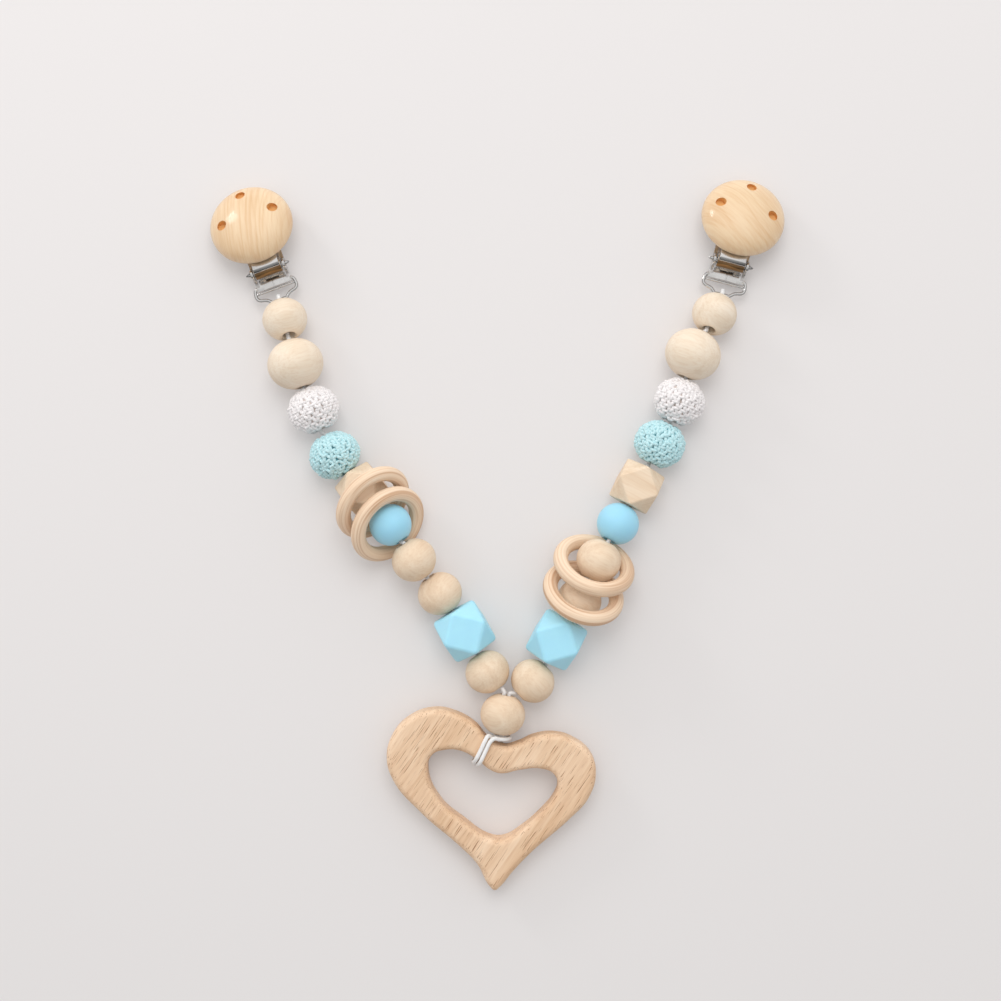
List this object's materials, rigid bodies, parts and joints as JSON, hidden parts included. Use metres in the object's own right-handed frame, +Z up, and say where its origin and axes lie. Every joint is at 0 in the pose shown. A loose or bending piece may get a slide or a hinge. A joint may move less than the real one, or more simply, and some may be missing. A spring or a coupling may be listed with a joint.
{
  "type": "pram chain toy",
  "caption": "Baby's pram chain: two strands of round and faceted beads with loose rings, joined at a wooden heart, each with a capped metal clip at its end.",
  "frame": {"origin": "middle of the toy's box, on the floor it lies on", "axes": "+Y from the heart's tip towards the clips, +X to the viewer's right, +Z up from the floor"},
  "size_m": [0.2054, 0.2544, 0.0253],
  "materials": {
    "bead_wood": "smooth unfinished light wood",
    "beech": "oiled beech with dark flecks",
    "lacquered_wood": "clear lacquer on light wood",
    "blue_silicone": "matte silicone",
    "aqua_cotton": "matte cotton over a wooden core",
    "white_cotton": "matte cotton over a wooden core",
    "white_cord": "smooth woven polyester cord",
    "nickel_steel": "bright nickel plate on stamped steel",
    "grip_plastic": "clear ribbed plastic"
  },
  "bodies": {
    "heart": {"heart": "beech", "heart_hitch_cord": "white_cord"},
    "shared_strands": {"left_cord_0": "white_cord", "right_cord_0": "white_cord"},
    "shared_bead": {"shared_bead": "bead_wood"},
    "left_strand_1": {"left_cord_1": "white_cord"},
    "left_wood_c_bead": {"left_wood_c_bead": "bead_wood"},
    "left_strand_2": {"left_cord_2": "white_cord"},
    "left_facet_blue_bead": {"left_facet_blue_bead": "blue_silicone"},
    "left_wood_b_bead": {"left_wood_b_bead": "bead_wood"},
    "left_strand_3": {"left_cord_3": "white_cord"},
    "left_wood_a_bead": {"left_wood_a_bead": "bead_wood"},
    "left_strand_4": {"left_cord_4": "white_cord"},
    "left_blue_bead": {"left_blue_bead": "blue_silicone"},
    "left_strand_5": {"left_cord_5": "white_cord"},
    "left_facet_wood_bead": {"left_facet_wood_bead": "bead_wood"},
    "left_aqua_bead": {"left_aqua_bead": "aqua_cotton"},
    "left_strand_6": {"left_cord_6": "white_cord"},
    "left_white_bead": {"left_white_bead": "white_cotton"},
    "left_strand_7": {"left_cord_7": "white_cord"},
    "left_big_bead": {"left_big_bead": "bead_wood"},
    "left_strand_8": {"left_cord_8": "white_cord"},
    "left_small_bead": {"left_small_bead": "bead_wood"},
    "left_clip_cord": {"left_clip_cord": "white_cord"},
    "left_clip": {"left_clip_base": "nickel_steel", "left_clip_axle": "nickel_steel", "left_clip_pad": "grip_plastic"},
    "left_lever": {"left_clip_lever": "nickel_steel", "left_clip_cap": "lacquered_wood", "left_clip_rivet": "nickel_steel"},
    "right_strand_1": {"right_cord_1": "white_cord"},
    "right_wood_c_bead": {"right_wood_c_bead": "bead_wood"},
    "right_strand_2": {"right_cord_2": "white_cord"},
    "right_facet_blue_bead": {"right_facet_blue_bead": "blue_silicone"},
    "right_wood_b_bead": {"right_wood_b_bead": "bead_wood"},
    "right_strand_3": {"right_cord_3": "white_cord"},
    "right_wood_a_bead": {"right_wood_a_bead": "bead_wood"},
    "right_strand_4": {"right_cord_4": "white_cord"},
    "right_blue_bead": {"right_blue_bead": "blue_silicone"},
    "right_strand_5": {"right_cord_5": "white_cord"},
    "right_facet_wood_bead": {"right_facet_wood_bead": "bead_wood"},
    "right_aqua_bead": {"right_aqua_bead": "aqua_cotton"},
    "right_strand_6": {"right_cord_6": "white_cord"},
    "right_white_bead": {"right_white_bead": "white_cotton"},
    "right_strand_7": {"right_cord_7": "white_cord"},
    "right_big_bead": {"right_big_bead": "bead_wood"},
    "right_strand_8": {"right_cord_8": "white_cord"},
    "right_small_bead": {"right_small_bead": "bead_wood"},
    "right_clip_cord": {"right_clip_cord": "white_cord"},
    "right_clip": {"right_clip_base": "nickel_steel", "right_clip_axle": "nickel_steel", "right_clip_pad": "grip_plastic"},
    "right_lever": {"right_clip_lever": "nickel_steel", "right_clip_cap": "lacquered_wood", "right_clip_rivet": "nickel_steel"},
    "left_ring_1": {"left_ring_1": "bead_wood"},
    "left_ring_2": {"left_ring_2": "bead_wood"},
    "right_ring_1": {"right_ring_1": "bead_wood"},
    "right_ring_2": {"right_ring_2": "bead_wood"}
  },
  "joints": [
    {"name": "heart_swing", "type": "hinge", "parent": "heart", "child": "shared_strands", "pos_m": [0.00052, -0.07154, 0.00944], "axis": [0, 0, 1], "range_deg": [-8, 8]},
    {"name": "shared_bead_spin", "type": "hinge", "parent": "shared_strands", "child": "shared_bead", "pos_m": [0.00193, -0.06428, 0.00944], "axis": [0.1908, 0.9816, 0], "continuous": true},
    {"name": "left_strand_1_bend", "type": "hinge", "parent": "shared_strands", "child": "left_strand_1", "pos_m": [0.00334, -0.05702, 0.00944], "axis": [0, 0, 1], "range_deg": [-6, 6]},
    {"name": "left_wood_c_bead_spin", "type": "hinge", "parent": "left_strand_1", "child": "left_wood_c_bead", "pos_m": [-0.00358, -0.04923, 0.008], "axis": [-0.577, 0.8153, -0.0474], "continuous": true},
    {"name": "left_strand_2_bend", "type": "hinge", "parent": "left_strand_1", "child": "left_strand_2", "pos_m": [-0.00358, -0.04923, 0.008], "axis": [0, 0, 1], "range_deg": [-3.5, 8]},
    {"name": "left_facet_blue_bead_spin", "type": "hinge", "parent": "left_strand_2", "child": "left_facet_blue_bead", "pos_m": [-0.01167, -0.03464, 0.00872], "axis": [-0.5177, 0.8549, 0.034], "continuous": true},
    {"name": "left_wood_b_bead_spin", "type": "hinge", "parent": "left_strand_2", "child": "left_wood_b_bead", "pos_m": [-0.02053, -0.0212, 0.00912], "axis": [-0.5708, 0.8128, 0.1165], "continuous": true},
    {"name": "left_strand_3_bend", "type": "hinge", "parent": "left_strand_2", "child": "left_strand_3", "pos_m": [-0.02053, -0.0212, 0.00912], "axis": [0, 0, 1], "range_deg": [-8, 5.5]},
    {"name": "left_wood_a_bead_spin", "type": "hinge", "parent": "left_strand_3", "child": "left_wood_a_bead", "pos_m": [-0.02959, -0.00909, 0.01232], "axis": [-0.5713, 0.8104, 0.1299], "continuous": true},
    {"name": "left_strand_4_bend", "type": "hinge", "parent": "left_strand_3", "child": "left_strand_4", "pos_m": [-0.02959, -0.00909, 0.01232], "axis": [0, 0, 1], "range_deg": [-6, 8]},
    {"name": "left_blue_bead_spin", "type": "hinge", "parent": "left_strand_4", "child": "left_blue_bead", "pos_m": [-0.03788, 0.00339, 0.0131], "axis": [-0.589, 0.8004, -0.1121], "continuous": true},
    {"name": "left_strand_5_bend", "type": "hinge", "parent": "left_strand_4", "child": "left_strand_5", "pos_m": [-0.03788, 0.00339, 0.0131], "axis": [0, 0, 1], "range_deg": [-5.5, 7]},
    {"name": "left_facet_wood_bead_spin", "type": "hinge", "parent": "left_strand_5", "child": "left_facet_wood_bead", "pos_m": [-0.04786, 0.01563, 0.00862], "axis": [-0.6256, 0.7699, -0.1261], "continuous": true},
    {"name": "left_aqua_bead_spin", "type": "hinge", "parent": "left_strand_5", "child": "left_aqua_bead", "pos_m": [-0.05804, 0.0282, 0.009], "axis": [-0.5306, 0.8475, 0.0118], "continuous": true},
    {"name": "left_strand_6_bend", "type": "hinge", "parent": "left_strand_5", "child": "left_strand_6", "pos_m": [-0.05804, 0.0282, 0.009], "axis": [0, 0, 1], "range_deg": [-2.5, 8]},
    {"name": "left_white_bead_spin", "type": "hinge", "parent": "left_strand_6", "child": "left_white_bead", "pos_m": [-0.06563, 0.04441, 0.009], "axis": [-0.393, 0.9191, 0.0286], "continuous": true},
    {"name": "left_strand_7_bend", "type": "hinge", "parent": "left_strand_6", "child": "left_strand_7", "pos_m": [-0.06563, 0.04441, 0.009], "axis": [0, 0, 1], "range_deg": [-8, 4.5]},
    {"name": "left_big_bead_spin", "type": "hinge", "parent": "left_strand_7", "child": "left_big_bead", "pos_m": [-0.07195, 0.0607, 0.01], "axis": [-0.3032, 0.9524, -0.0315], "continuous": true},
    {"name": "left_strand_8_bend", "type": "hinge", "parent": "left_strand_7", "child": "left_strand_8", "pos_m": [-0.07195, 0.0607, 0.01], "axis": [0, 0, 1], "range_deg": [-2, 8]},
    {"name": "left_small_bead_spin", "type": "hinge", "parent": "left_strand_8", "child": "left_small_bead", "pos_m": [-0.07599, 0.07678, 0.008], "axis": [-0.2701, 0.8727, -0.4067], "continuous": true},
    {"name": "left_clip_cord_bend", "type": "hinge", "parent": "left_strand_8", "child": "left_clip_cord", "pos_m": [-0.07599, 0.07678, 0.008], "axis": [0, 0, 1], "range_deg": [-8, 8]},
    {"name": "left_clip_swing", "type": "hinge", "parent": "left_clip_cord", "child": "left_clip", "pos_m": [-0.07849, 0.08486, 0.0045], "axis": [-0.0403, 0.1091, 0.9932], "range_deg": [-10, 10]},
    {"name": "left_lever_open", "type": "hinge", "parent": "left_clip", "child": "left_lever", "pos_m": [-0.08217, 0.09481, 0.00738], "axis": [0.9379, 0.3469, 0], "range_deg": [0, 60]},
    {"name": "right_strand_1_bend", "type": "hinge", "parent": "shared_strands", "child": "right_strand_1", "pos_m": [0.00334, -0.05702, 0.00944], "axis": [0, 0, 1], "range_deg": [-6, 6]},
    {"name": "right_wood_c_bead_spin", "type": "hinge", "parent": "right_strand_1", "child": "right_wood_c_bead", "pos_m": [0.01263, -0.05248, 0.008], "axis": [0.7281, 0.6837, -0.0503], "continuous": true},
    {"name": "right_strand_2_bend", "type": "hinge", "parent": "right_strand_1", "child": "right_strand_2", "pos_m": [0.01263, -0.05248, 0.008], "axis": [0, 0, 1], "range_deg": [-8, 3.5]},
    {"name": "right_facet_blue_bead_spin", "type": "hinge", "parent": "right_strand_2", "child": "right_facet_blue_bead", "pos_m": [0.0211, -0.03769, 0.00872], "axis": [0.4966, 0.8671, 0.0383], "continuous": true},
    {"name": "right_wood_b_bead_spin", "type": "hinge", "parent": "right_strand_2", "child": "right_wood_b_bead", "pos_m": [0.02919, -0.02357, 0.00928], "axis": [0.4567, 0.8799, 0.1308], "continuous": true},
    {"name": "right_strand_3_bend", "type": "hinge", "parent": "right_strand_2", "child": "right_strand_3", "pos_m": [0.02919, -0.02357, 0.00928], "axis": [0, 0, 1], "range_deg": [-8, 6]},
    {"name": "right_wood_a_bead_spin", "type": "hinge", "parent": "right_strand_3", "child": "right_wood_a_bead", "pos_m": [0.0359, -0.00918, 0.01296], "axis": [0.4501, 0.8928, 0.0166], "continuous": true},
    {"name": "right_strand_4_bend", "type": "hinge", "parent": "right_strand_3", "child": "right_strand_4", "pos_m": [0.0359, -0.00918, 0.01296], "axis": [0, 0, 1], "range_deg": [-6, 8]},
    {"name": "right_blue_bead_spin", "type": "hinge", "parent": "right_strand_4", "child": "right_blue_bead", "pos_m": [0.04292, 0.00376, 0.01006], "axis": [0.4633, 0.8697, -0.1703], "continuous": true},
    {"name": "right_strand_5_bend", "type": "hinge", "parent": "right_strand_4", "child": "right_strand_5", "pos_m": [0.04292, 0.00376, 0.01006], "axis": [0, 0, 1], "range_deg": [-8, 8]},
    {"name": "right_facet_wood_bead_spin", "type": "hinge", "parent": "right_strand_5", "child": "right_facet_wood_bead", "pos_m": [0.0499, 0.0171, 0.00782], "axis": [0.466, 0.8839, -0.0393], "continuous": true},
    {"name": "right_aqua_bead_spin", "type": "hinge", "parent": "right_strand_5", "child": "right_aqua_bead", "pos_m": [0.0579, 0.03214, 0.009], "axis": [0.4436, 0.8956, 0.0346], "continuous": true},
    {"name": "right_strand_6_bend", "type": "hinge", "parent": "right_strand_5", "child": "right_strand_6", "pos_m": [0.0579, 0.03214, 0.009], "axis": [0, 0, 1], "range_deg": [-6, 8]},
    {"name": "right_white_bead_spin", "type": "hinge", "parent": "right_strand_6", "child": "right_white_bead", "pos_m": [0.06488, 0.04732, 0.009], "axis": [0.3469, 0.9375, 0.0287], "continuous": true},
    {"name": "right_strand_7_bend", "type": "hinge", "parent": "right_strand_6", "child": "right_strand_7", "pos_m": [0.06488, 0.04732, 0.009], "axis": [0, 0, 1], "range_deg": [-8, 2.5]},
    {"name": "right_big_bead_spin", "type": "hinge", "parent": "right_strand_7", "child": "right_big_bead", "pos_m": [0.06966, 0.06412, 0.01], "axis": [0.3774, 0.9255, -0.0316], "continuous": true},
    {"name": "right_strand_8_bend", "type": "hinge", "parent": "right_strand_7", "child": "right_strand_8", "pos_m": [0.06966, 0.06412, 0.01], "axis": [0, 0, 1], "range_deg": [-2, 8]},
    {"name": "right_small_bead_spin", "type": "hinge", "parent": "right_strand_8", "child": "right_small_bead", "pos_m": [0.07757, 0.07869, 0.008], "axis": [0.3385, 0.8485, -0.4067], "continuous": true},
    {"name": "right_clip_cord_bend", "type": "hinge", "parent": "right_strand_8", "child": "right_clip_cord", "pos_m": [0.07757, 0.07869, 0.008], "axis": [0, 0, 1], "range_deg": [-8, 8]},
    {"name": "right_clip_swing", "type": "hinge", "parent": "right_clip_cord", "child": "right_clip", "pos_m": [0.08077, 0.08673, 0.0045], "axis": [0.0301, 0.1123, 0.9932], "range_deg": [-10, 10]},
    {"name": "right_lever_open", "type": "hinge", "parent": "right_clip", "child": "right_lever", "pos_m": [0.08352, 0.09698, 0.00738], "axis": [0.9659, -0.2588, 0], "range_deg": [0, 60]},
    {"name": "left_ring_1_slide", "type": "slide", "parent": "left_strand_5", "child": "left_ring_1", "axis": [-0.5788, 0.8154, 0], "range_m": [-0.0001, 0.0016]},
    {"name": "left_ring_2_slide", "type": "slide", "parent": "left_strand_4", "child": "left_ring_2", "axis": [-0.5666, 0.824, 0], "range_m": [-0.0014, 0.0003]},
    {"name": "right_ring_1_slide", "type": "slide", "parent": "right_strand_3", "child": "right_ring_1", "axis": [0.4101, 0.912, 0], "range_m": [-0.0002, 0.0016]},
    {"name": "right_ring_2_slide", "type": "slide", "parent": "right_strand_3", "child": "right_ring_2", "axis": [0.4191, 0.9079, 0], "range_m": [-0.0014, 0.0004]}
  ]
}
